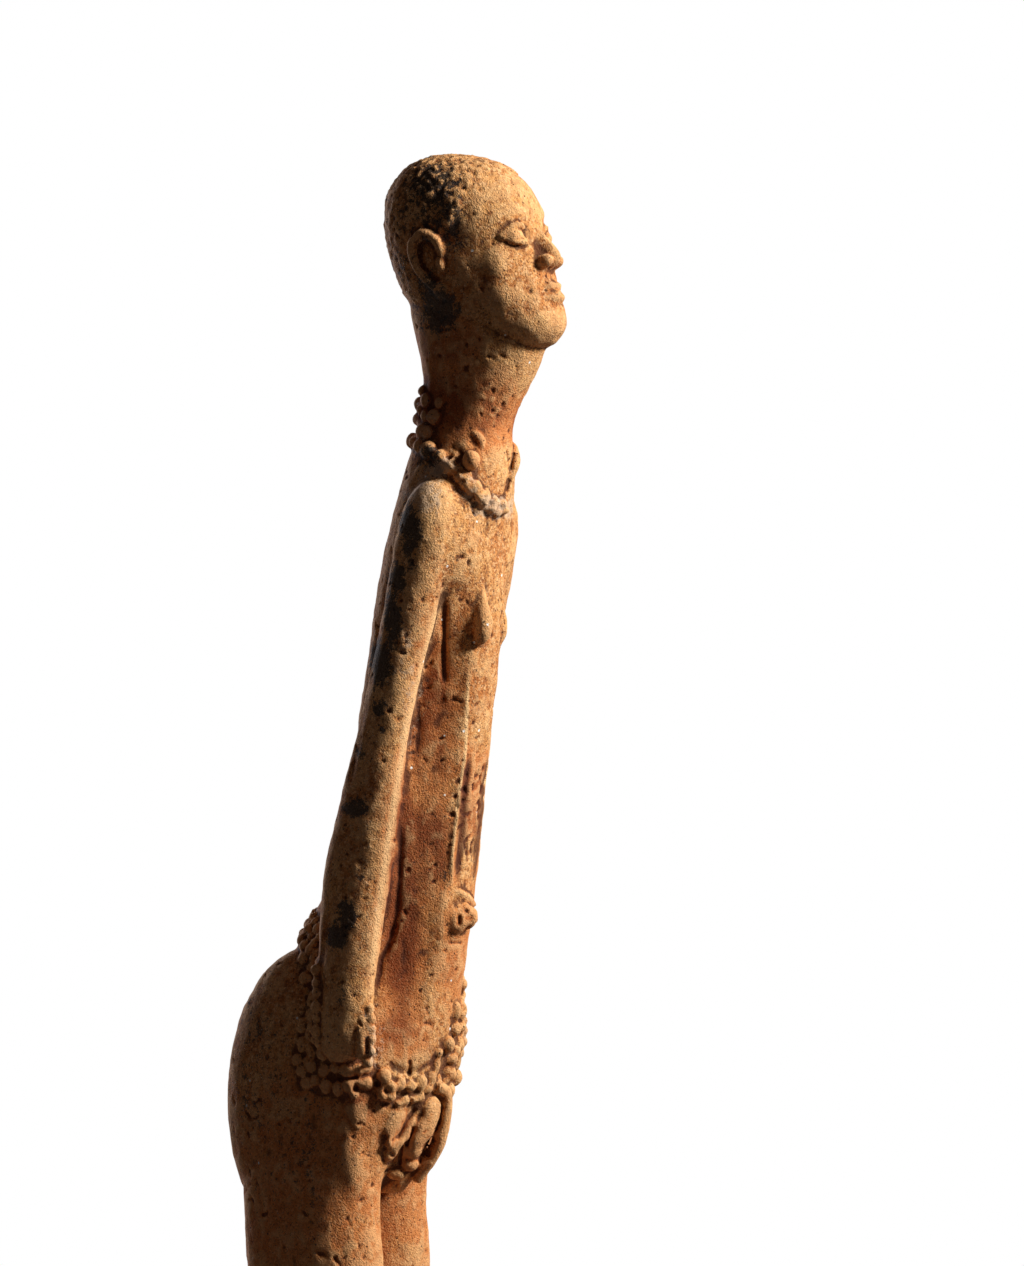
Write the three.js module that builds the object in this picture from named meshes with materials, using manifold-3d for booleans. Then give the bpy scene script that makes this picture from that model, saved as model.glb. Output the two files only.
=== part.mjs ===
// A tall standing figure of coarse fired clay from the inland Niger delta, in millimetres, +Z up.
// It looks towards -Y, its own right hand is on -X, and the origin is under the middle of its base.
// Everything was rolled, pinched and pressed on in wet clay and fired as one piece, so it is one solid.
import * as THREE from 'three';
import { mergeVertices } from 'three/addons/utils/BufferGeometryUtils.js';
import Module from 'manifold-3d';

const wasm = await Module();
wasm.setup();

// The driving sizes
const BASE_LENGTH = 122;
const BASE_WIDTH = 100;
const BASE_THICKNESS = 15;
const BASE_EDGE = 4;
const HEAD_TILT = THREE.MathUtils.degToRad(15);
const HEAD_MIDDLE_FRONT = 51.5;
const HEAD_MIDDLE_HEIGHT = 575;
const BEAD = 5.4;
const NECK_BEAD = 7;
const FRONT_CORNER = 13;
const RIGHT = -1;
const LEFT = 1;

// Neck, trunk and hips in one coil-built column. Each row: height, how far the widest line stands in
// front of the base's middle, depth ahead of that line, depth behind it, half width, how far the front is
// pared to a low arch between two flat flanks, how far the arch falls to its corners, where the flanks end
const TRUNK = [
  [186, -6, 20, 24, 33, 0, 1, 26],
  [196, -4, 26, 29, 37, 0, 1, 26],
  [208, 0, 30, 32, 39.5, 0, 1, 28],
  [222, 3, 31, 35, 40, 0, 2, 29],
  [234, 5.5, 31.7, 37, 40, 0, 3, 30],
  [246, 8, 32.6, 38, 39.5, 0.3, 4, 30],
  [268, 11, 32.8, 39.5, 36.5, 0.7, 4.5, 28],
  [285, 15, 32.2, 42, 34, 1, 4.5, 26],
  [302, 19, 30, 36.5, 31, 1, 3.4, 26.5],
  [319, 22, 28, 31, 29.5, 1, 1.8, 28],
  [344, 25.7, 27, 28, 28, 1, 1.5, 28.5],
  [386, 30.6, 28.3, 27, 28.5, 1, 3.2, 23],
  [410, 34.4, 27.3, 26.6, 28.8, 0.9, 3.2, 23],
  [432, 37.7, 25.6, 26.3, 29, 0.6, 2.5, 25],
  [455, 41.5, 23.2, 25.2, 29, 0.3, 2, 26],
  [470, 44.3, 22.2, 24, 28, 0.1, 2, 26],
  [482, 46.2, 21.5, 23, 25.5, 0, 1, 24],
  [492, 48.3, 20, 22.6, 22, 0, 1, 20],
  [504, 50, 18.4, 20.2, 19, 0, 1, 18],
  [512, 51.5, 20, 20.2, 19.4, 0, 1, 18],
  [520, 53, 23.4, 20.8, 20.2, 0, 1, 18],
  [530, 53, 28.5, 21.8, 21.5, 0, 1, 18],
  [540, 53, 33, 23.8, 23, 0, 1, 18],
  [550, 53, 32, 26.5, 24, 0, 1, 18],
  [560, 52, 26, 27.5, 23, 0, 1, 18],
];

// Each row of a limb: height, its middle's place in front and to the side, half depth, half width
const LEG = [
  [10, -14, 19, 14, 12],
  [22, -14, 19, 14, 12],
  [40, -14, 19, 17, 13.5],
  [62, -14, 19.5, 21.5, 15.5],
  [85, -12.5, 20, 23, 16.5],
  [105, -10.5, 20.5, 25.5, 17.5],
  [130, -10.5, 21, 28, 19],
  [152, -11, 21, 30, 19.5],
  [176, -12.5, 21, 29.5, 19.8],
  [200, -12, 21, 30, 20],
  [216, -8, 20, 27, 18.5],
  [230, -4, 18, 20, 14],
];
const ARM = [
  [239, 12, 40, 8.5, 5],
  [242, 12, 40.7, 11.4, 7.4],
  [252, 12.2, 41, 12.6, 8.2],
  [264, 12.6, 40, 13, 8.6],
  [289, 13.6, 36.5, 14, 9.7],
  [319, 15.6, 33, 15, 10.2],
  [348, 20.9, 32, 13.7, 10.2],
  [382, 28, 32, 11.3, 10.2],
  [415, 36.3, 31.5, 11.2, 10.2],
  [449, 43.4, 30, 12.4, 10.7],
  [464, 45.8, 28.5, 12.2, 10.8],
  [476, 47.2, 26.5, 9.2, 8.4],
  [481, 47.5, 25, 5, 5],
];

// Each row of a foot: how far in front, half width, height of its top above the base
const FOOT = [
  [-30, 7, 8],
  [-26, 11, 14],
  [-12, 12.5, 18],
  [6, 13.5, 15],
  [24, 15, 10],
  [36, 14, 8],
  [42, 9, 5],
];

// The apron's backing. Each row: height, how far its front stands in front of the base's middle, half width
const BACKING = [
  [184, 19, 8],
  [190, 24, 11.5],
  [196, 28, 15],
  [202, 31.5, 18],
  [208, 34, 20.5],
  [216, 36, 23],
  [226, 37.5, 25],
];

// The head stands in its own tilted frame. Each row: height above its middle, back, front, half width
const HEAD = [
  [-45, 14, 27, 8],
  [-41, 0, 33.5, 15.5],
  [-34, -12, 35.5, 21],
  [-24, -23, 35.5, 25],
  [-12, -29, 35, 27.4],
  [0, -31.8, 33.5, 29],
  [12, -32.5, 35, 30],
  [22, -31.5, 32, 29.5],
  [32, -28.5, 24.5, 26],
  [39, -23, 14.5, 20],
  [43.5, -15, 4, 12.5],
  [45, -9, -2, 4],
];

// Values of a table at a place between its rows, on a smooth curve through them
function reading(rows, place) {
  const last = rows.length - 1;
  let k = 0;
  while (k < last - 1 && rows[k + 1][0] < place) k += 1;
  const [a, b] = [rows[k], rows[k + 1]];
  const gap = b[0] - a[0];
  const t = THREE.MathUtils.clamp((place - a[0]) / gap, 0, 1);
  const before = rows[Math.max(k - 1, 0)];
  const after = rows[Math.min(k + 2, last)];
  return a.slice(1).map((_, j) => {
    const i = j + 1;
    const slopeA = (b[i] - before[i]) / (b[0] - before[0]) * gap;
    const slopeB = (after[i] - a[i]) / (after[0] - a[0]) * gap;
    const [t2, t3] = [t * t, t * t * t];
    return (2 * t3 - 3 * t2 + 1) * a[i] + (t3 - 2 * t2 + t) * slopeA
      + (3 * t2 - 2 * t3) * b[i] + (t3 - t2) * slopeB;
  });
}

// A closed clay roll through rings of points that all have the same count
function roll(rings) {
  const sides = rings[0].length;
  const points = rings.flat();
  const middleOf = (ring) => ring.reduce((sum, p) => sum.add(p), new THREE.Vector3()).divideScalar(sides);
  const start = points.push(middleOf(rings[0])) - 1;
  const end = points.push(middleOf(rings[rings.length - 1])) - 1;
  const index = [];
  for (let r = 0; r < rings.length - 1; r += 1) {
    for (let s = 0; s < sides; s += 1) {
      const a = r * sides + s;
      const b = r * sides + (s + 1) % sides;
      index.push(a, b, b + sides, a, b + sides, a + sides);
    }
  }
  const top = (rings.length - 1) * sides;
  for (let s = 0; s < sides; s += 1) {
    const next = (s + 1) % sides;
    index.push(start, next, s, end, top + s, top + next);
  }
  const geometry = new THREE.BufferGeometry();
  const numbers = points.flatMap((p) => [p.x, p.y, p.z]);
  geometry.setAttribute('position', new THREE.Float32BufferAttribute(numbers, 3));
  geometry.setIndex(index);
  return geometry;
}

// Geometry to solid and back, for joining and cutting
function solid(geometry) {
  const bare = geometry.clone();
  bare.deleteAttribute('normal');
  bare.deleteAttribute('uv');
  const merged = mergeVertices(bare, 1e-4);
  return new wasm.Manifold(new wasm.Mesh({
    numProp: 3,
    vertProperties: new Float32Array(merged.attributes.position.array),
    triVerts: new Uint32Array(merged.index.array),
  }));
}

function geometryOf(body) {
  const mesh = body.getMesh();
  const geometry = new THREE.BufferGeometry();
  geometry.setAttribute('position', new THREE.Float32BufferAttribute(mesh.vertProperties, 3));
  geometry.setIndex(new THREE.Uint32BufferAttribute(mesh.triVerts, 1));
  geometry.computeVertexNormals();
  return geometry;
}

function joined(bodies) {
  return bodies.reduce((whole, body) => whole.add(body));
}

// A squarish oval ring of clay that runs from the front by the figure's left and back to the front
function ovalRing(height, middle, side, ahead, behind, halfWidth, sides, squareness) {
  return Array.from({ length: sides }, (_, s) => {
    const turn = s / sides * 2 * Math.PI;
    const [c, q] = [Math.cos(turn), Math.sin(turn)];
    const depth = c > 0 ? ahead : behind;
    const round = (v) => Math.sign(v) * Math.abs(v) ** (2 / squareness);
    return new THREE.Vector3(side + halfWidth * round(q), -(middle + depth * round(c)), height);
  });
}

function heights(rows, step) {
  const [low, high] = [rows[0][0], rows[rows.length - 1][0]];
  const count = Math.round((high - low) / step);
  return Array.from({ length: count + 1 }, (_, i) => low + (high - low) * i / count);
}

// A ring's front half pulled to a low arched front between two flat flanks
function pared(ring, middle, ahead, share, fall, flank) {
  const front = ahead - fall;
  const run = flank - FRONT_CORNER;
  const rise = ahead * 0.28 - front;
  return ring.map((p) => {
    const forward = -p.y - middle;
    if (forward <= 0 || share <= 0) return p;
    const reach = Math.hypot(p.x, forward);
    const [a, b] = [Math.abs(p.x) / reach, forward / reach];
    const bow = fall * (a / FRONT_CORNER) ** 2;
    const toFront = bow > 1e-9 ? (Math.sqrt(b * b + 4 * bow * ahead) - b) / (2 * bow) : ahead;
    const toFlank = (FRONT_CORNER * rise - front * run) / (a * rise - b * run);
    const flat = Math.min(toFront, toFlank, reach * 1.2);
    const soft = THREE.MathUtils.clamp(forward / (ahead * 0.3), 0, 1) * Math.min(share, 1);
    const scale = 1 + (flat / reach - 1) * soft;
    return new THREE.Vector3(p.x * scale, -(middle + forward * scale), p.z);
  });
}

function trunk() {
  const rings = heights(TRUNK, 15).map((h) => {
    const [middle, ahead, behind, halfWidth, share, fall, flank] = reading(TRUNK, h);
    const ring = ovalRing(h, middle, 0, ahead, behind, halfWidth, 24, 2.15);
    return pared(ring, middle, ahead, share, fall, flank);
  });
  return solid(roll(rings));
}

function limb(rows, hand, squareness, sides, step) {
  const rings = heights(rows, step).map((h) => {
    const [middle, side, halfDepth, halfWidth] = reading(rows, h);
    return ovalRing(h, middle, hand * side, halfDepth, halfDepth, halfWidth, sides, squareness);
  });
  return solid(roll(rings));
}

// A pinched pellet: half sizes across, fore-and-aft and up
function pellet(side, front, height, [across, deep, tall], detail = 1) {
  const geometry = new THREE.IcosahedronGeometry(1, detail);
  geometry.scale(across, deep, tall);
  geometry.translate(side, -front, height);
  return solid(geometry);
}

// A soft rise of the clay, given by the same half sizes
function swelling(side, front, height, [across, deep, tall], sides = 9) {
  const geometry = new THREE.SphereGeometry(1, sides, 7);
  geometry.rotateX(Math.PI / 2);
  geometry.scale(across, deep, tall);
  geometry.translate(side, -front, height);
  return solid(geometry);
}

// The right hip stands a little further forward than the left
function hips() {
  return [
    swelling(RIGHT * 19.5, -14, 222, [22, 38.5, 65.5], 12),
    swelling(LEFT * 19.5, -14, 222, [22, 38.5, 65.5], 12),
    swelling(RIGHT * 26.3, 11, 214, [13, 10.6, 37]),
    swelling(LEFT * 26, 5, 214, [10.4, 8.4, 37]),
  ];
}

function shoulder(hand) {
  return swelling(hand * 17.5, 48.3, 458.5, [17, 14.6, 27], 10);
}

// A foot is a wedge with a rounded top, sunk a little into the base
function foot(hand) {
  const rings = FOOT.map(([front, halfWidth, top]) => Array.from({ length: 12 }, (_, s) => {
    const turn = s / 12 * 2 * Math.PI;
    const height = BASE_THICKNESS + (Math.sin(turn) > 0 ? top * Math.sin(turn) : 4 * Math.sin(turn));
    return new THREE.Vector3(hand * (20 + 0.05 * front) + halfWidth * Math.cos(turn), -front, height);
  }));
  return solid(roll(rings));
}

// The base is a patted slab with a soft upper edge
function base() {
  const layers = [
    [0, 1.5],
    [2, 0],
    [BASE_THICKNESS - BASE_EDGE, 0],
    [BASE_THICKNESS - 1, 1.5],
    [BASE_THICKNESS, BASE_EDGE],
  ];
  const rings = layers.map(([height, inset]) => {
    const [halfLength, halfWidth] = [BASE_LENGTH / 2 - inset, BASE_WIDTH / 2 - inset];
    return ovalRing(height, 0, 0, halfLength, halfLength, halfWidth, 24, 2.4);
  });
  return solid(roll(rings));
}

// From the head's own frame (side, front, up) to the figure's
function headPoint(side, front, up) {
  const [c, s] = [Math.cos(HEAD_TILT), Math.sin(HEAD_TILT)];
  return new THREE.Vector3(
    side,
    -(HEAD_MIDDLE_FRONT + front * c - up * s),
    HEAD_MIDDLE_HEIGHT + up * c + front * s,
  );
}

function skull(growth, step) {
  const rings = heights(HEAD, step).map((up) => {
    const [back, front, halfWidth] = reading(HEAD, up);
    const middle = back + (front - back) * 0.45;
    const [ahead, behind] = [front - middle + growth, middle - back + growth];
    const flat = ovalRing(0, middle, 0, ahead, behind, halfWidth + growth, 18, 2.1);
    const stretched = up * (1 + growth / 45);
    return flat.map((p) => headPoint(p.x, -p.y, stretched));
  });
  return solid(roll(rings));
}

// The close-cropped hair is a thin cap, ended by a hairline from the forehead to the nape
function hair() {
  const [front, up] = [23, 31];
  const slope = Math.atan2(58, 52);
  const below = new THREE.BoxGeometry(120, 160, 120);
  below.translate(0, 0, -60);
  below.rotateX(-slope - HEAD_TILT);
  const corner = headPoint(0, front, up);
  below.translate(corner.x, corner.y, corner.z);
  return skull(1.3, 9).subtract(solid(below));
}

// A rolled string of clay along points, with few sides
function string(points, radius, steps, sides = 6, closed = false) {
  const path = new THREE.CatmullRomCurve3(points, closed);
  const section = new THREE.Shape();
  for (let s = 0; s < sides; s += 1) {
    const turn = s / sides * 2 * Math.PI;
    const [x, y] = [radius * Math.cos(turn), radius * Math.sin(turn)];
    if (s === 0) section.moveTo(x, y);
    else section.lineTo(x, y);
  }
  section.closePath();
  return solid(new THREE.ExtrudeGeometry(section, { steps, extrudePath: path, bevelEnabled: false }));
}

// The face is a plain, calm one, laid out by thirds: hairline, brow, foot of the nose, chin
const EYE_SIDE = 13.5;
const EYE_UP = 0.5;
const NOSE_FOOT = -14;
const MOUTH_UP = -24;

function nose() {
  const rows = [
    [9, 33.5, 3],
    [3, 36, 3.4],
    [-5, 40, 4.4],
    [-10.5, 43.5, 6.4],
    [-13.5, 42.5, 6.6],
    [NOSE_FOOT - 1, 37, 5],
  ];
  const rings = rows.map(([up, tip, halfWidth]) => [
    headPoint(-halfWidth, 27, up),
    headPoint(-halfWidth, tip - 5, up),
    headPoint(-halfWidth * 0.45, tip, up),
    headPoint(halfWidth * 0.45, tip, up),
    headPoint(halfWidth, tip - 5, up),
    headPoint(halfWidth, 27, up),
  ]).reverse();
  return solid(roll(rings));
}

function eye(hand) {
  const middle = headPoint(hand * EYE_SIDE, 29.5, EYE_UP);
  const ball = pellet(middle.x, -middle.y, middle.z, [5.6, 3.8, 3.6], 0);
  const lid = (lift) => string([
    headPoint(hand * (EYE_SIDE - 7), 30.2, EYE_UP),
    headPoint(hand * EYE_SIDE, 30, EYE_UP + lift),
    headPoint(hand * (EYE_SIDE + 6.5), 25.4, EYE_UP),
  ], 1.6, 3, 4);
  return joined([ball, lid(4), lid(-3.6)]);
}

function lips() {
  const lip = (up, bow, radius) => string([
    headPoint(-10, 31.5, MOUTH_UP),
    headPoint(-4, 35.5, up + bow),
    headPoint(0, 36, up),
    headPoint(4, 35.5, up + bow),
    headPoint(10, 31.5, MOUTH_UP),
  ], radius, 5, 4);
  return joined([lip(MOUTH_UP + 1.7, 0.8, 1.9), lip(MOUTH_UP - 2, -0.3, 2.1)]);
}

function ear(hand) {
  const rim = string([
    headPoint(hand * 28, 1, -3),
    headPoint(hand * 30.5, 1, 6),
    headPoint(hand * 31, -6, 10),
    headPoint(hand * 31, -12, 3),
    headPoint(hand * 29, -10, -8),
    headPoint(hand * 26.5, -4, -15),
  ], 2.8, 6, 4);
  const lobe = headPoint(hand * 26, -5, -14.5);
  return rim.add(pellet(lobe.x, -lobe.y, lobe.z, [3.4, 4, 5], 0));
}

// Where a pellet pressed towards the column's middle line would touch the clay
const caster = new THREE.Raycaster();
function touch(clay, turn, height) {
  const [middle] = reading(TRUNK, height);
  const out = new THREE.Vector3(-Math.sin(turn), -Math.cos(turn), 0);
  const from = new THREE.Vector3(0, -middle, height).addScaledVector(out, 150);
  caster.set(from, out.clone().negate());
  const [hit] = caster.intersectObject(clay);
  return hit.point;
}

// A line on the clay through places given as degrees of turn from the front, towards the right, and heights
function lineOnClay(clay, places, closed, count) {
  const path = new THREE.CatmullRomCurve3(places.map(([turn, h]) => new THREE.Vector3(turn, h, 0)));
  const points = [];
  for (let i = 0; i <= count; i += 1) {
    const p = path.getPoint(i / count);
    points.push(touch(clay, THREE.MathUtils.degToRad(p.x), p.y));
  }
  if (closed) points.pop();
  return points;
}

function strand(clay, places, size, closed, lift = 0.08) {
  const line = new THREE.CatmullRomCurve3(lineOnClay(clay, places, closed, 90), closed);
  const count = Math.round(line.getLength() / (size * 1.3));
  const beads = [];
  for (let i = 0; i < count; i += 1) {
    const p = line.getPointAt(i / count);
    const [middle] = reading(TRUNK, p.z);
    const out = new THREE.Vector3(p.x, p.y + middle, 0).normalize();
    p.addScaledVector(out, size * lift);
    const geometry = new THREE.OctahedronGeometry(size * 0.56, 0);
    geometry.rotateX(Math.PI / 4);
    geometry.rotateZ(Math.atan2(out.y, out.x));
    geometry.translate(p.x, p.y, p.z);
    beads.push(solid(geometry));
  }
  return beads;
}

// The belt dips over the right thigh and climbs behind the arms to the small of the back
const BELT = [
  [-180, 297], [-150, 296], [-120, 289], [-95, 279], [-65, 268], [-40, 260],
  [-25, 252], [-8, 238], [8, 232], [35, 229], [70, 230], [96, 235],
  [106, 250], [113, 270], [128, 288], [152, 296], [180, 297],
];

// Larger pellets are heaped where the belt's ends meet: turn, height, size
const HEAP = [[-22, 240, 8], [-30, 233, 9], [-16, 231, 8], [-34, 245, 7]];

function belt(clay) {
  const strands = [-3.2, 3.2].flatMap((shift) => strand(clay, BELT.map(([turn, h]) => {
    const leaning = Math.abs(turn - 107) < 8 ? shift * -2 : 0;
    return [turn + leaning, h + shift];
  }), BEAD, true));
  const heap = HEAP.map(([turn, h, size]) => {
    const p = touch(clay, THREE.MathUtils.degToRad(turn), h);
    return pellet(p.x, -p.y, p.z, [size / 2, size / 2, size / 2], 0);
  });
  return [...strands, ...heap];
}

// Short rows of beads lie round the nape and the sides of the neck
function nape(clay) {
  const rows = [
    [[-100, 497], [-150, 512], [-180, 515], [-210, 514], [-238, 509]],
    [[-80, 493], [-130, 504], [-180, 508], [-215, 507], [-244, 502]],
    [[-120, 496], [-180, 501], [-220, 499], [-255, 494]],
  ];
  return rows.flatMap((row) => strand(clay, row, NECK_BEAD, false, 0.3));
}

// A thick cord hangs from the nape in a loop on the chest, beside one large bead
function necklace(clay) {
  const places = [
    [128, 497], [96, 492], [70, 486], [50, 478], [30, 472],
    [14, 469], [-2, 473], [-14, 481], [-24, 491], [-60, 497],
  ];
  const hook = [[62, 500], [46, 503], [38, 499], [36, 494]];
  const bead = touch(clay, THREE.MathUtils.degToRad(55), 490.5);
  return [
    string(lineOnClay(clay, places, false, 24), 2.8, 16, 5),
    string(lineOnClay(clay, hook, false, 6), 1.9, 4, 4),
    pellet(bead.x - 0.8, -bead.y + 0.8, bead.z, [4.4, 4.4, 5], 0),
  ];
}

// The left one is worn flatter
function breast(hand) {
  const drop = new THREE.SphereGeometry(1, 8, 6);
  drop.scale(4.4, 4.8, 12.5);
  drop.rotateX(-0.28);
  drop.translate(hand * 10.8, hand === RIGHT ? -60.5 : -59, 427);
  return solid(drop);
}

function navel() {
  return pellet(-1, 47, 301, [5.2, 9, 8.6]);
}

// A raised cordon runs down the right edge of the flat front, from chest to navel
function cordon(clay) {
  const places = [[24, 404], [26, 385], [28, 366], [29.5, 348], [29, 330], [28, 314]];
  return string(lineOnClay(clay, places, false, 8), 1.3, 6, 4);
}

// The apron is gathered below the belt: a rope edge on the left, and narrow folds that hang inside it
function apron() {
  const at = (side, front, height) => new THREE.Vector3(side, -front, height);
  const edge = [
    at(-5, 37.4, 229), at(1, 38.8, 226), at(2, 37.5, 212),
    at(1, 35.2, 204), at(0, 30.8, 196.6), at(0, 25.4, 189),
  ];
  const broadFold = [at(-5, 34.5, 222), at(-8, 33.2, 213), at(-12, 29, 203)];
  const shortFold = [at(-16, 29, 222), at(-18, 25.5, 214), at(-19.5, 22, 204)];
  const knot = pellet(-27.5, 26, 228, [5, 5, 7], 0);
  const backing = roll(heights(BACKING, 8.4).map((h) => {
    const [front, halfWidth] = reading(BACKING, h);
    return ovalRing(h, 5, -1, front - 5, 12, halfWidth, 12, 2.1);
  }));
  return joined([
    string(edge, 3.2, 10, 6),
    string(broadFold, 3.6, 4, 6),
    string(shortFold, 3, 3, 5),
    knot,
    solid(backing),
  ]);
}

// The thumb edge and fingertips of each hand show in front of and below the belt
function hand(side) {
  const at = (out, front, height) => new THREE.Vector3(side * out, -front, height);
  const thumb = [at(41, 22.2, 268), at(41.5, 22.6, 254), at(41, 22.4, 242), at(39.5, 21, 237)];
  const fingers = [at(36, 16, 240), at(34.8, 17, 227), at(33.5, 17, 213)];
  return string(thumb, 2.8, 3, 4).add(string(fingers, 4.2, 3, 5));
}

function clayBody() {
  return joined([
    trunk(),
    limb(LEG, RIGHT, 2, 12, 18),
    limb(LEG, LEFT, 2, 12, 18),
    ...hips(),
    limb(ARM, RIGHT, 2.1, 12, 13.5),
    limb(ARM, LEFT, 2.1, 12, 13.5),
    shoulder(RIGHT),
    shoulder(LEFT),
    foot(RIGHT),
    foot(LEFT),
    base(),
    skull(0, 9),
  ]);
}

function figure() {
  const clay = clayBody();
  const surface = new THREE.Mesh(geometryOf(clay));
  return joined([
    clay,
    hair(),
    nose(),
    eye(RIGHT),
    eye(LEFT),
    lips(),
    ear(RIGHT),
    ear(LEFT),
    breast(RIGHT),
    breast(LEFT),
    navel(),
    cordon(surface),
    apron(),
    hand(RIGHT),
    hand(LEFT),
    ...belt(surface),
    ...nape(surface),
    ...necklace(surface),
  ]);
}

const whole = figure().simplify(0.2);

const terracotta = new THREE.MeshStandardMaterial({ color: 0xb0714a, roughness: 0.95, metalness: 0 });
const mesh = new THREE.Mesh(geometryOf(whole), terracotta);
mesh.name = 'figure';

const object = new THREE.Group();
object.add(mesh);

export default object;
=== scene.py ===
import math

import bmesh
import bpy
import numpy as np
from mathutils import Matrix, Vector
from mathutils.bvhtree import BVHTree


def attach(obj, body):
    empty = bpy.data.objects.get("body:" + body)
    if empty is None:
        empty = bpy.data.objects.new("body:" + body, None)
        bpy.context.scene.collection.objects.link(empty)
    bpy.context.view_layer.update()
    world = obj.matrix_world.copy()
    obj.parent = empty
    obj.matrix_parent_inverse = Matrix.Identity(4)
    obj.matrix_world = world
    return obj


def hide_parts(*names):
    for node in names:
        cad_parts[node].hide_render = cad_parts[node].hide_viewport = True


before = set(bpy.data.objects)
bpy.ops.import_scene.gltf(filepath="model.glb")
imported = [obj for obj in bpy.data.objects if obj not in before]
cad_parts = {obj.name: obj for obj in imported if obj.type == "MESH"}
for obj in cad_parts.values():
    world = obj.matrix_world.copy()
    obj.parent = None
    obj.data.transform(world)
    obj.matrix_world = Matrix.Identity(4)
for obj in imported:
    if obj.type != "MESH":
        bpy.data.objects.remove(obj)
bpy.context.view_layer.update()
bpy.ops.object.select_all(action="DESELECT")

# Trunk and neck: the column that carries everything else. It was built up from
# rolls of coarse clay, smeared together and scraped upright, so it has no seams,
# only soft swellings.
MM = 0.001
RIGHT, LEFT = -1, 1

# Height, place of the widest line in front of the base's middle, depth ahead and behind it, half
# width, how far the round section is pared to a low arched front and two flat flanks, how far the
# arched front falls to its corners, and how far aside the flanks end
TRUNK = [
    (186, -6, 20, 24, 33, 0, 1, 26),
    (196, -4, 26, 29, 37, 0, 1, 26),
    (208, 0, 30, 32, 39.5, 0, 1, 28),
    (222, 3, 31, 35, 40, 0, 2, 29),
    (234, 5.5, 31.7, 37, 40, 0, 3, 30),
    (246, 8, 32.6, 38, 39.5, 0.3, 4, 30),
    (268, 11, 32.8, 39.5, 36.5, 0.7, 4.5, 28),
    (285, 15, 32.2, 42, 34, 1, 4.5, 26),
    (302, 19, 30, 36.5, 31, 1, 3.4, 26.5),
    (319, 22, 28, 31, 29.5, 1, 1.8, 28),
    (344, 25.7, 27, 28, 28, 1, 1.5, 28.5),
    (386, 30.6, 28.3, 27, 28.5, 1, 3.2, 23),
    (410, 34.4, 27.3, 26.6, 28.8, 0.9, 3.2, 23),
    (432, 37.7, 25.6, 26.3, 29, 0.6, 2.5, 25),
    (455, 41.5, 23.2, 25.2, 29, 0.3, 2, 26),
    (470, 44.3, 22.2, 24, 28, 0.1, 2, 26),
    (482, 46.2, 21.5, 23, 25.5, 0, 1, 24),
    (492, 48.3, 20, 22.6, 22, 0, 1, 20),
    (504, 50, 18, 20.2, 19, 0, 1, 18),
    (512, 51.5, 19.6, 20.2, 19.4, 0, 1, 18),
    (520, 53, 23, 20.8, 20.2, 0, 1, 18),
    (530, 53, 28, 21.8, 21.5, 0, 1, 18),
    (540, 53, 32, 23.8, 23, 0, 1, 18),
    (550, 53, 31, 26, 24, 0, 1, 18),
    (560, 52, 25, 26.5, 23, 0, 1, 18),
]
CORNER = 13


def at(side, front, height):
    """A place in millimetres: towards the figure's left, towards its front, and up."""
    return Vector((side, -front, height)) * MM


def reading(rows, place):
    """The values of a table between its rows, on a smooth curve through them."""
    keys = [row[0] for row in rows]
    place = min(max(place, keys[0]), keys[-1])
    k = max(i for i in range(len(rows) - 1) if keys[i] <= place or i == 0)
    a, b = rows[k], rows[k + 1]
    before, after = rows[max(k - 1, 0)], rows[min(k + 2, len(rows) - 1)]
    gap = b[0] - a[0]
    t = (place - a[0]) / gap
    values = []
    for i in range(1, len(a)):
        slope_a = (b[i] - before[i]) / (b[0] - before[0]) * gap
        slope_b = (after[i] - a[i]) / (after[0] - a[0]) * gap
        values.append((2 * t**3 - 3 * t**2 + 1) * a[i] + (t**3 - 2 * t**2 + t) * slope_a
                      + (3 * t**2 - 2 * t**3) * b[i] + (t**3 - t**2) * slope_b)
    return values


def turns(count):
    return [s / count * 2 * math.pi for s in range(count)]


def oval(height, middle, side, ahead, behind, half_width, count, squareness=2.0):
    """A ring of places round a limb, from its front by the figure's left to its back."""
    ring = []
    for turn in turns(count):
        c, q = math.cos(turn), math.sin(turn)
        depth = ahead if c > 0 else behind
        forward = math.copysign(abs(c) ** (2 / squareness), c) * depth
        across = math.copysign(abs(q) ** (2 / squareness), q) * half_width
        ring.append(at(side + across, middle + forward, height))
    return ring


def coil(name, rings):
    """Builds clay up ring by ring, from a filled disc drawn out again and again."""
    bpy.ops.mesh.primitive_circle_add(vertices=len(rings[0]), radius=0.01, fill_type="NGON")
    lump = bpy.context.object
    lump.name = name
    bpy.ops.object.mode_set(mode="EDIT")
    mesh = bmesh.from_edit_mesh(lump.data)
    for vertex, place in zip(mesh.verts, rings[0]):
        vertex.co = place
    for ring in rings[1:]:
        bpy.ops.mesh.extrude_region_move()
        mesh = bmesh.from_edit_mesh(lump.data)
        for vertex, place in zip([v for v in mesh.verts if v.select], ring):
            vertex.co = place
    bmesh.update_edit_mesh(lump.data)
    bpy.ops.mesh.select_all(action="SELECT")
    bpy.ops.mesh.normals_make_consistent(inside=False)
    bpy.ops.object.mode_set(mode="OBJECT")
    return lump


def levels(rows, step):
    low, high = rows[0][0], rows[-1][0]
    count = round((high - low) / step)
    return [low + (high - low) * i / count for i in range(count + 1)]


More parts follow.
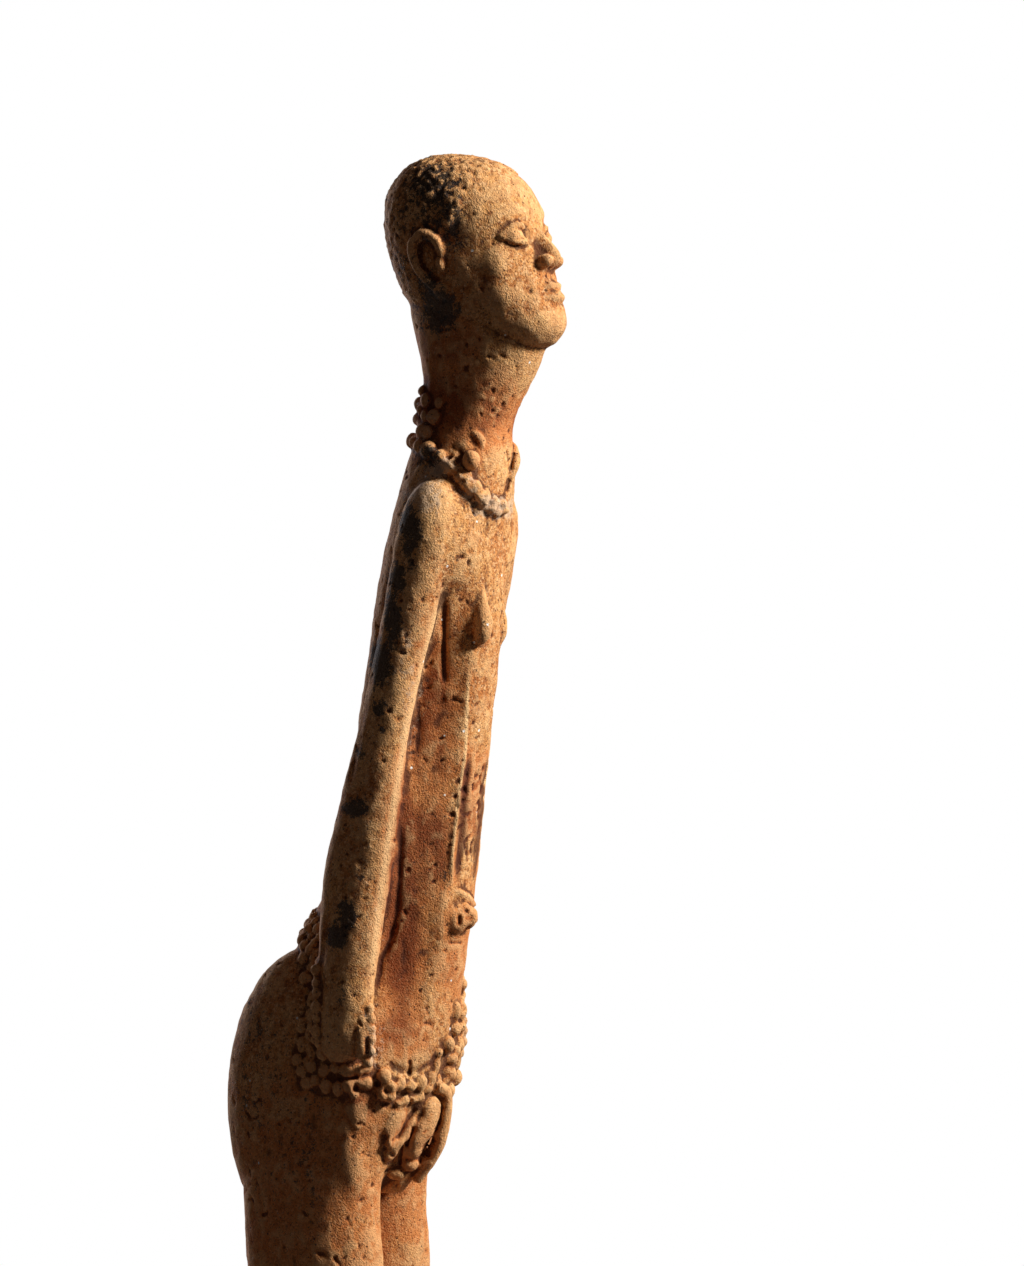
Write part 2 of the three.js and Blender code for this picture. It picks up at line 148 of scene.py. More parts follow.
def pared(ring, middle, ahead, share, fall, flank):
    """Pulls a ring's front half to a low arched front between two flat flanks."""
    corner, shoulder = (CORNER, ahead - fall), (flank, ahead * 0.28)
    run, rise = shoulder[0] - corner[0], shoulder[1] - corner[1]
    changed = []
    for place in ring:
        side, front = place.x / MM, -place.y / MM - middle
        if front > 0 and share > 0:
            # where the ray from the middle through this place crosses the arched front or a flank
            reach = math.hypot(side, front)
            a, b = abs(side) / reach, front / reach
            bow = fall * (a / CORNER) ** 2
            to_front = (math.sqrt(b * b + 4 * bow * ahead) - b) / (2 * bow) if bow > 1e-9 else ahead
            to_flank = (corner[0] * rise - corner[1] * run) / (a * rise - b * run)
            flat = min(to_front, to_flank, reach * 1.2)
            soft = np.clip(front / (ahead * 0.3), 0, 1) * share
            scale = 1 + (flat / reach - 1) * soft
            place = at(side * scale, middle + front * scale, place.z / MM)
        changed.append(place)
    return changed


rings = []
for height in levels(TRUNK, 4):
    middle, ahead, behind, half_width, share, fall, flank = reading(TRUNK, height)
    ring = oval(height, middle, 0, ahead, behind, half_width, 96, 2.15)
    rings.append(pared(ring, middle, ahead, min(max(share, 0), 1), fall, flank))
body_lumps = [coil("trunk", rings)]

# Legs, buttocks and feet: two thick rolls of the same clay, close together, with
# two rounded masses set high behind them and short wedge feet on the base.

# Height, the roll's middle in front and to the side, half depth, half width
LEG = [
    (10, -14, 19, 14, 12),
    (22, -14, 19, 14, 12),
    (40, -14, 19, 17, 13.5),
    (62, -14, 19.5, 21.5, 15.5),
    (85, -12.5, 20, 23, 16.5),
    (105, -10.5, 20.5, 25.5, 17.5),
    (130, -10.5, 21, 28, 19),
    (152, -11, 21, 30.5, 19.5),
    (176, -12.5, 21, 30.5, 19.8),
    (200, -12, 21, 31, 20.3),
    (216, -8, 20, 28, 18.5),
    (230, -4, 18, 20, 14),
]
# How far in front, half width, height of the top above the base
FOOT = [
    (-30, 7, 8), (-26, 11, 14), (-12, 12.5, 18), (6, 13.5, 15), (24, 15, 10), (36, 14, 8), (42, 9, 5),
]
FOOT_SUNK = 4
BASE_THICKNESS = 15


def limb(name, rows, hand, step):
    """A leg or an arm as one roll, from the rows of its table."""
    rings = []
    for height in levels(rows, step):
        middle, side, half_depth, half_width = reading(rows, height)
        rings.append(oval(height, middle, hand * side, half_depth, half_depth, half_width, 40))
    return coil(name, rings)


def ball(name, place, half_sizes, turn=None, detail=3):
    """A pinched ball of clay: half sizes in millimetres, turned by a matrix if given."""
    bpy.ops.mesh.primitive_ico_sphere_add(subdivisions=detail, radius=1)
    lump = bpy.context.object
    lump.name = name
    size = Matrix.Diagonal((*(s * MM for s in half_sizes), 1))
    turned = turn.to_4x4() if turn else Matrix.Identity(4)
    lump.data.transform(Matrix.Translation(place) @ turned @ size)
    return lump


# the right hip stands a little further forward than the left
HIPS = [(RIGHT, "right", 10, (12.6, 9.8, 42)), (LEFT, "left", 5, (10.2, 8, 42))]
for hand, name, hip_front, hip_sizes in HIPS:
    body_lumps.append(limb(f"{name}_leg", LEG, hand, 4))
    body_lumps.append(ball("buttock", at(hand * 19.5, -14, 223), (22, 38, 64), detail=5))
    body_lumps.append(ball("hip", at(hand * 26.3, hip_front, 216), hip_sizes, detail=5))

    rings = []
    for front in levels(FOOT, 3):
        half_width, top = reading(FOOT, front)
        middle = hand * (20 + 0.05 * front)
        ring = []
        for turn in turns(24):
            rise = top if math.sin(turn) > 0 else FOOT_SUNK
            height = BASE_THICKNESS + rise * math.sin(turn)
            ring.append(at(middle + half_width * math.cos(turn), front, height))
        rings.append(ring)
    body_lumps.append(coil(f"{name}_foot", rings))

# Base: a low oval slab patted flat on a board, with a soft upper edge, fired
# together with the feet that were pressed into it.
BASE_LAYERS = [(0, 1.5), (2, 0), (11, 0), (14, 1.5), (15, 4)]
rings = [oval(height, 0, 0, 61 - inset, 61 - inset, 50 - inset, 72, 2.4) for height, inset in BASE_LAYERS]
body_lumps.append(coil("base", rings))

# Arms: rolls laid on the sides of the trunk, with a crisp front edge from the
# maker's thumb, ending in blunt hands that rest on the belt.
ARM = [
    (240.5, 12, 40, 5, 3),
    (242.5, 12, 40.3, 8.5, 5.4),
    (245.5, 12, 40.7, 10.8, 6.9),
    (250, 12, 41, 12.1, 7.8),
    (256, 12.2, 41, 12.5, 8),
    (264, 12.6, 40, 12.8, 8.5),
    (289, 13.6, 36.5, 13.7, 9.5),
    (319, 15.6, 33, 14.7, 10),
    (348, 20.9, 32, 13.4, 10),
    (382, 28, 32, 11, 10),
    (415, 36.3, 31.5, 11, 10),
    (449, 43.4, 30, 12.2, 10.5),
    (462, 45.6, 28.8, 12.2, 10.8),
    (472, 47, 27.3, 10.5, 9.5),
    (478, 47.5, 26, 8, 7.5),
    (481, 47.5, 25, 5, 5),
]
for hand, name in ((RIGHT, "right"), (LEFT, "left")):
    body_lumps.append(limb(f"{name}_arm", ARM, hand, 3))
    body_lumps.append(ball("shoulder", at(hand * 20.5, 48, 459), (14.5, 12.5, 26), detail=4))
    body_lumps.append(ball("chest", at(hand * 13, 48.8, 458), (18, 15, 27), detail=4))

# Head: a smooth egg of clay tilted back on the neck. The face is a plain calm one
# laid out by thirds, hairline, brow, foot of the nose and chin, with shut lips.
HEAD_TILT = math.radians(15)
HEAD_MIDDLE_FRONT = 51.5
HEAD_MIDDLE_HEIGHT = 575
# Height above the head's middle, back, front, half width
HEAD = [
    (-45, 14, 27, 8),
    (-42.5, 5, 31.5, 13),
    (-38, -4, 34.5, 18),
    (-32, -14, 34.6, 21.8),
    (-24, -23, 34, 24.8),
    (-12, -29, 33.6, 27.2),
    (0, -31.8, 32.8, 28.6),
    (12, -32.5, 34.2, 29.5),
    (22, -31.5, 31.6, 29),
    (32, -28.5, 24.5, 25.6),
    (39, -23, 14.5, 19.7),
    (43.5, -15, 4, 12),
    (45, -9, -2, 4),
]
EYE_SIDE, EYE_UP, MOUTH_UP = 13, 0.5, -24.5


def on_head(side, front, up):
    """A place given in the tilted head's own millimetres."""
    c, s = math.cos(HEAD_TILT), math.sin(HEAD_TILT)
    return at(side, HEAD_MIDDLE_FRONT + front * c - up * s, HEAD_MIDDLE_HEIGHT + up * c + front * s)


def string(name, places, radii, count=10):
    """A rolled string of clay through places, with its own radius at each."""
    points = [np.array(p) for p in places]
    rings = []
    steps = 8
    for k in range(len(points) - 1):
        p0, p1 = points[max(k - 1, 0)], points[k]
        p2, p3 = points[k + 1], points[min(k + 2, len(points) - 1)]
        for i in range(steps + (k == len(points) - 2)):
            t = i / steps
            place = 0.5 * (
                2 * p1 + (p2 - p0) * t + (2 * p0 - 5 * p1 + 4 * p2 - p3) * t**2
                + (3 * p1 - p0 - 3 * p2 + p3) * t**3
            )
            way = 0.5 * ((p2 - p0) + 2 * (2 * p0 - 5 * p1 + 4 * p2 - p3) * t
                         + 3 * (3 * p1 - p0 - 3 * p2 + p3) * t**2)
            radius = radii[k] + (radii[k + 1] - radii[k]) * t
            rings.append((Vector(place), Vector(way).normalized(), radius))
    drawn = []
    aside = rings[0][1].orthogonal().normalized()
    for place, way, radius in rings:
        aside = (aside - way * aside.dot(way)).normalized()
        other = way.cross(aside)
        drawn.append([
            place + (aside * math.cos(a) + other * math.sin(a)) * radius * MM
            for a in turns(count)
        ])
    return coil(name, drawn)


HEAD_TURN = Matrix.Rotation(-HEAD_TILT, 3, "X")

rings = []
for up in levels(HEAD, 2.5):
    back, front, half_width = reading(HEAD, up)
    middle = back + (front - back) * 0.42
    ring = []
    for turn in turns(64):
        c, q = math.cos(turn), math.sin(turn)
        depth = front - middle if c > 0 else middle - back
        forward = math.copysign(abs(c) ** 0.95, c) * depth
        ring.append(on_head(math.copysign(abs(q) ** 0.95, q) * half_width, middle + forward, up))
    rings.append(ring)
face_lumps = [coil("skull", rings)]

for hand in (RIGHT, LEFT):
    face_lumps.append(ball("cheek", on_head(hand * 13, 17, -9), (11.5, 10.5, 15), HEAD_TURN))
    face_lumps.append(ball("jaw", on_head(hand * 13.5, 12, -21), (11, 16, 14), HEAD_TURN))
    brow = [on_head(hand * 3, 31.4, 8), on_head(hand * 12, 29.6, 11), on_head(hand * 21, 22, 8)]
    face_lumps.append(string("brow", brow, [2.4, 3, 2]))
face_lumps.append(ball("mouth_swell", on_head(0, 28.4, MOUTH_UP), (11, 6.5, 8), HEAD_TURN))
face_lumps.append(ball("chin", on_head(0, 26.5, -37.5), (8.5, 8, 6.5), HEAD_TURN))


def fuse(name, lumps, voxel, smoothing):
    """Presses lumps together into one skin and smooths it as a wet thumb does."""
    bpy.ops.object.select_all(action="DESELECT")
    for lump in lumps:
        lump.select_set(True)
    bpy.context.view_layer.objects.active = lumps[0]
    bpy.ops.object.join()
    clay = bpy.context.object
    clay.name = name
    remesh = clay.modifiers.new("skin", "REMESH")
    remesh.mode = "VOXEL"
    remesh.voxel_size = voxel * MM
    bpy.ops.object.modifier_apply(modifier=remesh.name)
    if smoothing:
        smooth = clay.modifiers.new("thumb", "SMOOTH")
        smooth.factor = 0.5
        smooth.iterations = smoothing
        bpy.ops.object.modifier_apply(modifier=smooth.name)
    return clay


head = fuse("head", face_lumps, 1.0, 20)

# The nose and the lips go on before the second smoothing. Above the head's middle, how far the
# nose stands out, half width
NOSE = [
    (-15, 36.5, 4.2), (-12.5, 40.6, 5.4), (-9, 40.2, 5), (-3, 37, 4.2), (4, 33.8, 3.7), (12, 31.5, 3.8),
]
rings = []
for up in levels(NOSE, 1.2):
    tip, half_width = reading(NOSE, up)
    rings.append([
        on_head(half_width * math.sin(a), 24 + (tip - 24) * max(math.cos(a), -0.2), up)
        for a in turns(20)
    ])
face_lumps = [head, coil("nose", rings)]
for hand in (RIGHT, LEFT):
    face_lumps.append(ball("nose_wing", on_head(hand * 5.2, 34.8, -12), (3, 4.2, 3.1), HEAD_TURN))
for name, drop, swell, radii in (
    ("upper_lip", 1.7, 0.6, [0.8, 1.7, 1.6, 1.7, 0.8]),
    ("lower_lip", -2.4, -0.5, [0.8, 1.9, 2.2, 1.9, 0.8]),
):
    bow, corner = MOUTH_UP + drop + swell, MOUTH_UP - 0.3
    lip = [on_head(-9.3, 29.8, corner), on_head(-4, 34.2, bow), on_head(0, 35, MOUTH_UP + drop),
           on_head(4, 34.2, bow), on_head(9.3, 29.8, corner)]
    face_lumps.append(string(name, lip, radii))
head = fuse("head", face_lumps, 0.8, 3)

# The ear's rim: to the side, in front, above the head's middle, radius
EAR_RIM = [
    (27.6, 0.5, -2, 1.4), (30, 1.2, 5, 1.9), (31.2, -3.5, 10, 2.1), (31.4, -9.5, 7, 2.1),
    (30.4, -11, -1, 1.9), (28.5, -8, -9, 1.8), (27, -4.5, -13, 2.2),
]

# lids, eyeballs and ears go on after the head is smoothed, so they stay crisp
fine_lumps = []
for hand in (RIGHT, LEFT):
    fine_lumps.append(ball("eyeball", on_head(hand * EYE_SIDE, 27.2, EYE_UP), (5.6, 4.4, 3.9), HEAD_TURN))
    for lift, radius in ((3.9, 1.15), (-3.3, 0.95)):
        lid = [
            on_head(hand * (EYE_SIDE - 6.8), 29.6, EYE_UP - 0.8),
            on_head(hand * (EYE_SIDE - 2.5), 31.4, EYE_UP + lift * 0.9),
            on_head(hand * (EYE_SIDE + 2), 29.8, EYE_UP + lift),
            on_head(hand * (EYE_SIDE + 7), 24.2, EYE_UP + 0.3),
        ]
        fine_lumps.append(string("lid", lid, [0.7, radius, radius, 0.7]))
    rim = [on_head(hand * side, front, up) for side, front, up, _ in EAR_RIM]
    fine_lumps.append(string("ear_rim", rim, [radius for *_, radius in EAR_RIM]))
    fine_lumps.append(ball("ear_lobe", on_head(hand * 26.4, -4, -13.5), (2.6, 3.4, 4), HEAD_TURN))
    fine_lumps.append(ball("ear_knob", on_head(hand * 28.2, -0.5, -4), (2, 1.7, 3), HEAD_TURN))

# Breasts, navel and the backing of the apron: lumps pinched out or pressed on before
# the whole was smoothed over, and lines pressed in with a stick or a fingertip.

# To the side, in front of the breast's upper end, height, radius
BREAST = [
    (10, 0, 441, 1.2), (10.4, 1.2, 433, 3.0), (10.8, 2.2, 424, 4.5), (11, 2.2, 418, 4.2),
    (11.4, 0.8, 414, 2.2),
]
for hand, front, share in ((RIGHT, 60.4, 0.88), (LEFT, 57.4, 0.7)):
    places = [at(hand * side, front + ahead, height) for side, ahead, height, _ in BREAST]
    body_lumps.append(string("breast", places, [radius * share for *_, radius in BREAST], 14))
body_lumps.append(ball("navel", at(-1.3, 48, 299.8), (5, 7.4, 6)))
body_lumps.append(ball("navel", at(-5.6, 46.2, 298.6), (4.2, 6, 6.4)))

# Height, front of the backing, half width
BACKING = [
    (184, 19, 8), (190, 24, 11.5), (196, 28, 15), (202, 31.5, 18), (208, 34, 20.5), (216, 36, 23),
    (226, 37.5, 25),
]
rings = []
for height in levels(BACKING, 3):
    front, half_width = reading(BACKING, height)
    rings.append(oval(height, 5, -1, front - 5, 12, half_width, 32, 2.1))
body_lumps.append(coil("backing", rings))

body = fuse("body", body_lumps, 1.1, 5)


def thumbed(obj, sides, fronts, heights, rounds):
    """Draws a wet thumb over the places between these limits, which takes steps and creases away."""
    bpy.ops.object.mode_set(mode="EDIT")
    bpy.ops.mesh.select_all(action="DESELECT")
    mesh = bmesh.from_edit_mesh(obj.data)
    for vertex in mesh.verts:
        place = (abs(vertex.co.x), -vertex.co.y, vertex.co.z)
        vertex.select = all(low < p / MM < high for p, (low, high) in zip(place, (sides, fronts, heights)))
    bpy.ops.mesh.vertices_smooth(factor=0.5, repeat=rounds)
    bpy.ops.object.mode_set(mode="OBJECT")


# the upper chest, and the outer sides of the thighs below the hips
thumbed(body, (-1, 30), (50, 90), (441, 476), 45)
thumbed(body, (24, 60), (-30, 26), (170, 212), 60)

# Most marks are laid out as seen from the figure's right front, across and up
ACROSS = Vector((0.454, -0.891, 0))
OUTWARD = Vector((-0.891, -0.454, 0))


def vertices_of(obj):
    """Places in millimetres and normals of all vertices."""
    count = len(obj.data.vertices) * 3
    places, normals = np.empty(count), np.empty(count)
    obj.data.vertices.foreach_get("co", places)
    obj.data.vertices.foreach_get("normal", normals)
    return places.reshape(-1, 3) / MM, normals.reshape(-1, 3)


def put_back(obj, places):
    obj.data.vertices.foreach_set("co", (places * MM).ravel())
    obj.data.update()


def from_line(across, height, line):
    """Distance to a line through places, as seen from the right front, and how far along it."""
    nearest, along = np.full(len(across), 1e9), np.zeros(len(across))
    for i, ((a0, h0), (a1, h1)) in enumerate(zip(line, line[1:])):
        run, rise = a1 - a0, h1 - h0
        t = np.clip(((across - a0) * run + (height - h0) * rise) / (run**2 + rise**2), 0, 1)
        distance = np.hypot(across - a0 - t * run, height - h0 - t * rise)
        along = np.where(distance < nearest, (i + t) / (len(line) - 1), along)
        nearest = np.minimum(nearest, distance)
    return nearest, along


def press_lines(obj, lines):
    """Presses lines into the side that faces the right front: places, depth, half width."""
    places, normals = vertices_of(obj)
    across = places @ np.array(ACROSS)
    facing = np.clip(normals @ np.array(OUTWARD) * 4, 0, 1)
    for line, depth, half_width in lines:
        distance, along = from_line(across, places[:, 2], line)
        fade = np.clip(along * (1 - along) * 9, 0.15, 1) if math.dist(line[0], line[-1]) > 8 else 1
        push = depth * np.exp(-((distance / half_width) ** 2)) * (facing * fade)
        places -= np.array(OUTWARD) * push[:, None]
    put_back(obj, places)


# places across and up, depth, half width
press_lines(body, [
    ([(35.2, 433), (34.9, 424), (34.7, 412), (35, 396)], 1.8, 1.2),
    ([(9.9, 434), (3.8, 396), (-0.4, 377), (-5, 352)], 1.5, 1.2),
    ([(24.5, 389.8), (23.5, 366.7)], 0.8, 0.9),
    ([(45.4, 369), (43.6, 356), (42.5, 348.7), (41.9, 340), (41, 329), (40, 313)], 2.3, 1.3),
    ([(16.8, 342), (16.5, 326), (15.4, 303), (12.8, 292), (8.4, 282), (7, 268)], 1.2, 1.3),
    ([(10.9, 240.7), (15.5, 237), (20.6, 235.6), (23.7, 236.3), (29, 239.5), (31.8, 244.9)], 1.3, 1.3),
    ([(-18.6, 236), (-18, 246), (-16.6, 262), (-16, 284), (-12, 305)], 1.6, 1.4),
    ([(-18.6, 240), (-13, 238.5), (-6, 239), (1.5, 240)], 2.0, 1.5),
    ([(33, 218), (32, 212), (29.6, 204.5), (25.5, 197)], 5, 1.6),
    ([(30.6, 207), (27.6, 200)], 4.5, 2.4),
])

# Beads: pellets rolled between finger and thumb and pressed in rows on the wet
# clay, for the belt, the nape and the cord's large bead.
clay_lumps = [body, head, *fine_lumps]
rng = np.random.default_rng(7)
bpy.context.view_layer.update()
skin = BVHTree.FromObject(body, bpy.context.evaluated_depsgraph_get())


def press_round(turn, height):
    """Where a thumb pressing towards the column's middle meets the clay: degrees to the right, height."""
    middle = reading(TRUNK, height)[0]
    angle = math.radians(turn)
    out = Vector((-math.sin(angle), -math.cos(angle), 0))
    place, normal, _, _ = skin.ray_cast(at(0, middle, height) + out * 0.15, -out)
    return place, normal


def press_side(across, height):
    """The same from the right front: across runs towards the figure's front left."""
    middle = reading(TRUNK, height)[0] * 0.891
    for nudge in range(30):
        inward = across + (middle - across) * nudge / 30
        start = ACROSS * inward * MM + Vector((0, 0, height * MM)) + OUTWARD * 0.3
        place, normal, _, _ = skin.ray_cast(start, -OUTWARD)
        if place:
            return place, normal


def pellet(place, normal, size, sunk, tall=1):
    """Where a pinched pellet sits on the clay, a little out of round, as a matrix."""
    turn = normal.to_track_quat("Z", "Y").to_matrix()
    half = size / 2 * MM
    sizes = Matrix.Diagonal(rng.uniform(0.88, 1.14, 3) * (half, half * tall, half * 0.8))
    if tall == 1:
        turn = turn @ Matrix.Rotation(rng.uniform(0, 6.28), 3, "Z")
    return Matrix.Translation(place + normal * half * (0.5 - sunk)) @ (turn @ sizes).to_4x4()


def rolled(name, matrices):
    """One mesh of pellets, each a copy of the same rolled one."""
    one = ball(name, Vector(), (1000, 1000, 1000), detail=2)
    shape = np.array([v.co for v in one.data.vertices])
    sides = np.array([list(f.vertices) for f in one.data.polygons])
    places = [shape @ np.array(m.to_3x3()).T + np.array(m.translation) for m in matrices]
    faces = [sides + len(shape) * i for i in range(len(matrices))]
    one.data.clear_geometry()
    one.data.from_pydata(np.concatenate(places).tolist(), [], np.concatenate(faces).tolist())
    return one


def strand(places, size, sunk):
    """A row of pellets along places given as turns and heights."""
    keys = np.array(places, float)
    steps = np.linspace(0, len(keys) - 1, 400)
    track = [np.interp(steps, range(len(keys)), keys[:, i]) for i in (0, 1)]
    hits = [press_round(turn, height) for turn, height in zip(*track)]
    points = [hit for hit in hits if hit[0] is not None]
    gone = np.cumsum([0] + [(b[0] - a[0]).length for a, b in zip(points, points[1:])])
    count = round(gone[-1] / (size * MM * 0.98))
    lumps = []
    for i in range(count + 1):
        k = int(np.searchsorted(gone, gone[-1] * i / count))
        place, normal = points[min(k, len(points) - 1)]
        shift = Vector(rng.uniform(-0.45, 0.45, 3)) * MM
        lumps.append(pellet(place + shift, normal, size * rng.uniform(0.85, 1.15), sunk))
    return lumps


# Degrees from the front to the right, and height: low in front, high at the small of the back
BELT = [
    (-180, 297), (-150, 296), (-120, 289), (-95, 277), (-65, 262), (-40, 253),
    (-25, 245), (-8, 236),
]
BELT_BACK = [(100, 240), (104, 262), (110, 277), (128, 289), (152, 296), (180, 297)]
beads = []
for shift in (-4.6, 0, 4.6):
    beads += strand([(turn, height + shift) for turn, height in BELT], 4.8, 0.35)
    slanted = [(turn - shift * 1.1 * (abs(turn - 102) < 9), height + shift * (abs(turn - 102) > 9))
               for turn, height in BELT_BACK]
    beads += strand(slanted, 5.2, 0.5)

# The belt's front, and the hip beside the hand: across, height, size, how much taller than wide
for across, height, size, tall in (
    (42.2, 260.3, 4.4, 1.3), (39.3, 260.4, 3.4, 1.6), (38.8, 252.9, 4, 1), (41.8, 253.6, 4, 1),
    (36, 246.5, 4.6, 1), (39.8, 245.6, 4.2, 1), (32.6, 243.3, 2.8, 1), (37.1, 240.4, 4.8, 1),
    (41.2, 238.6, 4.6, 1.2), (31.2, 237.4, 3.2, 1.8), (36.2, 234.2, 5.4, 1), (40.8, 231.6, 4.8, 1.3),
    (29, 232.6, 4, 1.3), (27.3, 228.8, 4, 1), (24.7, 231, 4, 1.2), (20.5, 229.9, 4.1, 1),
    (16, 231, 4.6, 1), (9.8, 234.6, 4.6, 1), (32, 232.1, 2.6, 1), (38.6, 226.2, 4.4, 1.2),
    (-9.4, 237.8, 5.2, 1), (-5, 237.2, 5.4, 1), (-0.8, 237.4, 4.8, 1), (2.4, 238.8, 4.2, 1),
    (-14.6, 236.4, 4.2, 1), (-14, 230.4, 4.4, 1), (-9, 229.4, 4.2, 1), (-4.6, 230.6, 4.6, 1),
    (-0.5, 231.8, 3.8, 1), (-2.4, 227.4, 3.6, 1), (2.8, 231.6, 4, 1), (-20.4, 238, 4, 1),
    (-24, 236, 3.6, 1), (-22, 231.6, 4, 1), (-18.4, 232.4, 4.2, 1), (-26, 240.6, 3.4, 1),
    (-20.2, 243, 3.6, 1.7), (-20.6, 250.4, 3.6, 1.9), (-20.2, 258.4, 3.5, 1.8), (-19.6, 266, 3.6, 1.7),
    (-24, 247, 3.2, 1.6), (-24, 255, 3, 1.6), (-22.8, 274.6, 3.8, 1), (-20, 279, 3.8, 1),
    (-23.6, 282.6, 3.8, 1), (-20.4, 286.4, 3.6, 1), (-24, 290, 3.8, 1), (-21.2, 294, 3.8, 1),
):
    place, normal = press_side(across, height)
    beads.append(pellet(place, normal, size * 1.42, 0.3, tall))

# the rows on the nape, and the pellets beside the cord
NAPE = [
    [(-100, 497), (-150, 512), (-180, 515), (-210, 514), (-238, 509)],
    [(-80, 493), (-130, 504), (-180, 508), (-215, 507), (-244, 502)],
    [(-120, 495), (-180, 499), (-220, 498), (-255, 494)],
]
for row in NAPE:
    beads += strand(row, 6.4, 0.18)
    under = [press_round(turn, height) for turn, height in row]
    clay_lumps.append(string("nape_roll", [p - n * 0.3 * MM for p, n in under], [2.8] * len(under)))
for across, height, size in (
    (31.1, 508.3, 6.2), (26.6, 502, 7.2), (28, 515, 6), (33, 514, 4.6), (25, 519, 5.4),
):
    place, normal = press_side(across, height)
    beads.append(pellet(place, normal, size * 1.05, 0.25))
place, normal = press_side(45.6, 489.7)
clay_lumps.append(ball("large_bead", place + normal * 1.9 * MM, (3.6, 3.6, 4)))

# Cord: a thick lumpy roll of clay that hangs from the nape in a loop on the chest. It
# was pushed on hard from above, so its upper side runs into the chest.
CORD = [
    (128, 497), (110, 494), (96, 492), (84, 489), (70, 486), (60, 482), (50, 478), (40, 475),
    (30, 472), (22, 470), (14, 469), (5, 470.5), (-3, 474), (-14, 481), (-24, 490), (-40, 496), (-60, 498),
]
places = []
for i, (turn, height) in enumerate(CORD):
    place, normal = press_round(turn, height)
    places.append(place + normal * (0.5 * math.sin(i * 2.3) - 0.3) * MM)
cord = [string("cord", places, [2.2 + 0.6 * math.sin(i * 1.9) for i in range(len(CORD))])]
# across, height, half size
for across, height, half in (
    (33.2, 491.5, 3.2), (37.6, 486.8, 3.1), (41, 483.4, 2.6), (43.6, 480.2, 2.8), (46, 477.2, 2.6),
    (48.4, 474.6, 2.9), (50.6, 472.4, 3.1), (53.4, 470, 2.9), (56.4, 468.6, 2.9), (59, 469.6, 2.6),
    (60.4, 471.6, 2.0), (47.6, 478.8, 2.8), (51.4, 475.4, 3.4), (55, 472.4, 3.2), (58.2, 472.4, 2.6),
    (44.4, 483, 2.2), (38.6, 489.2, 2.0),
):
    place, normal = press_side(across, height)
    sizes = [half * share for share in rng.uniform(0.8, 1.2, 3)]
    cord.append(ball("cord_lump", place + normal * 0.05 * half * MM, sizes))
hook = [press_side(*place) for place in ((46, 501.8), (48.4, 500.4), (50.2, 497.8), (50.8, 494.4))]
cord.append(string("cord_end", [p - n * 0.5 * MM for p, n in hook], [1.6, 2.3, 2.2, 1.2]))
cord = [fuse("cord", cord, 0.7, 4)]


# Apron: a gathered cloth below the belt, shown by a rope edge, a leaf-shaped fold,
# short rolls and a knot, all pressed on by hand.
def pressed_on(name, places, radii, proud):
    """A string of clay laid on, through places seen from the right front."""
    hits = [press_side(across, height) for across, height in places]
    return string(name, [p + n * proud * MM for p, n in hits], radii)


def pat(name, across, height, half_sizes, lean, proud):
    """A flat pat of clay pressed on: half its width, height and thickness, and its lean to the right."""
    place, normal = press_side(across, height)
    turn = normal.to_track_quat("Z", "Y").to_matrix() @ Matrix.Rotation(math.radians(-lean), 3, "Z")
    return ball(name, place + normal * proud * MM, half_sizes, turn)


ROPE_EDGE = [
    at(-5, 37.4, 229), at(0, 38.6, 227), at(2, 38.8, 222), at(2, 37.5, 212), at(1, 35.2, 204),
    at(0, 30.8, 196.6), at(0, 25.4, 189),
]
apron = [
    string("rope_edge", ROPE_EDGE, [2.6, 3.2, 2.9, 2.8, 2.9, 3.0, 2.4], 14),
    pat("leaf_fold", 29.2, 218.4, (5.4, 6.4, 2.2), 8, 0.5),
    pat("leaf_fold", 27.0, 213, (5.2, 8.5, 2.1), 20, 0.6),
    pat("leaf_fold", 23.6, 208, (3.6, 5.6, 1.9), 24, 0.6),
    pressed_on("short_roll", [(14.6, 222.4), (19.4, 224.6)], [1.6, 2.2], 0.1),
    pressed_on("short_roll", [(20.8, 223.8), (25.4, 225.8)], [1.9, 2.3], 0.2),
    pat("left_fold", 14.6, 215.4, (4.4, 8, 1.4), 20, 0.0),
    pat("left_fold", 19.4, 211, (2.2, 6.5, 1.3), 28, 0.1),
    pat("knob", 12.6, 203, (3.4, 5.6, 1.7), -6, 0.4),
    pat("knob_point", 11.2, 206.6, (1.3, 2.4, 1.4), -15, 1.0),
    pat("knob_point", 15.6, 206.2, (1.4, 2.8, 1.4), 15, 1.0),
    pat("lower_lump", 22, 202, (3.4, 3.8, 1.8), 10, 0.4),
    pat("lower_lump", 20.8, 196.2, (3.6, 3, 1.8), 0, 0.3),
    pat("lower_lump", 14.6, 192.4, (3.8, 2.6, 1.9), 0, 0.4),
    pat("knot", 10.4, 228.4, (4, 5.2, 2.2), 0, 0.5),
    pat("knot", 9.4, 234.4, (2.8, 2.4, 2.2), 0, 1.2),
    pat("knot", 12.2, 230.6, (2.4, 2.6, 2.0), 0, 1.8),
    pat("knot", 12.4, 226.2, (2.2, 2.4, 1.8), 0, 1.6),
    pat("knot", 8.6, 226.6, (2.0, 2.4, 1.8), 0, 1.5),
]

